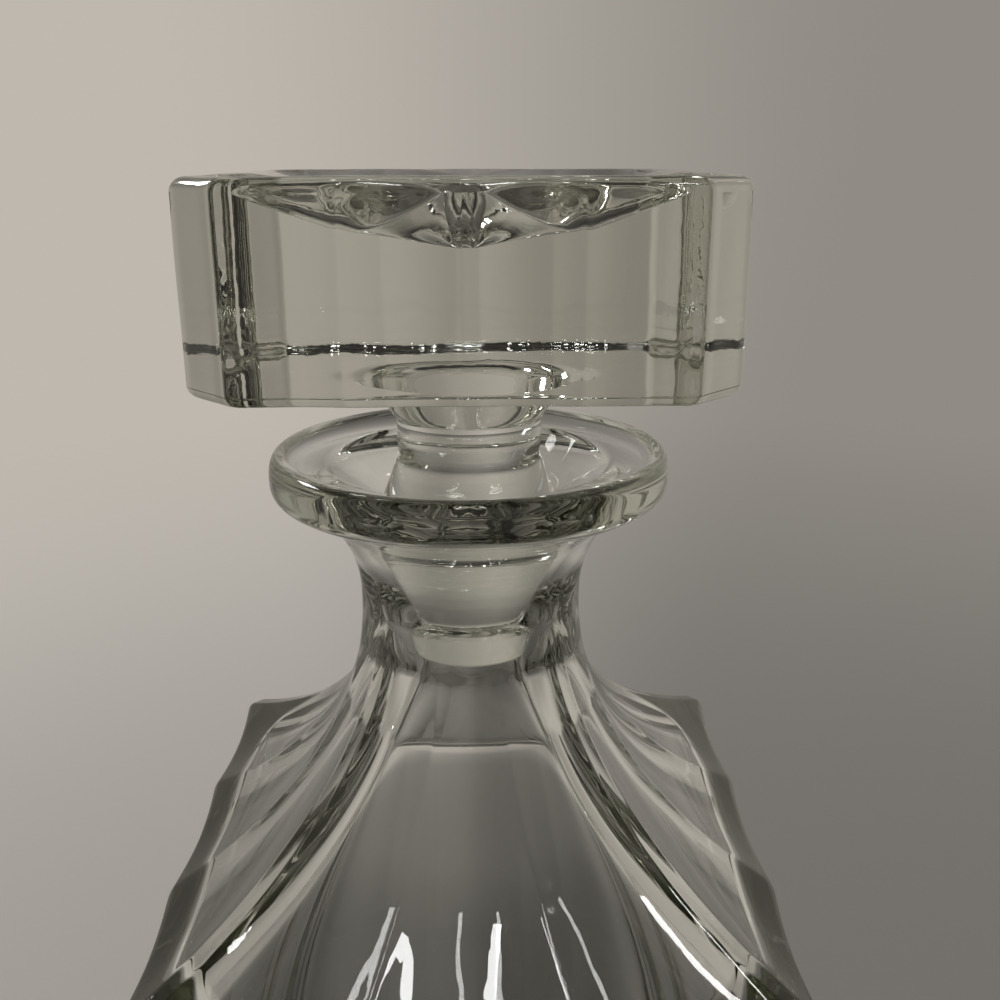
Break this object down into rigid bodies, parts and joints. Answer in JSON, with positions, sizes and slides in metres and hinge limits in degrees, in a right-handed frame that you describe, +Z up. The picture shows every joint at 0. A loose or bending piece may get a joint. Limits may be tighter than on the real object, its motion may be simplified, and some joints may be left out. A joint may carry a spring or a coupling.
{
  "type": "whisky decanter",
  "caption": "Square fluted whisky decanter of clear glass with a funnel-shaped collar and a lift-out square block stopper with a tapered plug.",
  "frame": {"origin": "centre of the flat base, on the surface that the decanter stands on", "axes": "+Z up along the neck and the stopper's lift, front side of the square body towards -Y, X across the front"},
  "size_m": [0.09, 0.09, 0.228],
  "materials": {
    "body_glass": "clear, fire-polished, faint grey-green in the thick rim",
    "stopper_glass": "clear, fire-polished, slightly wavy"
  },
  "bodies": {
    "vessel": {"decanter_body": "body_glass"},
    "stopper": {"stopper": "stopper_glass"}
  },
  "joints": [
    {"name": "stopper_lift", "type": "slide", "parent": "vessel", "child": "stopper", "axis": [0, 0, 1], "range_m": [0, 0.06]}
  ]
}
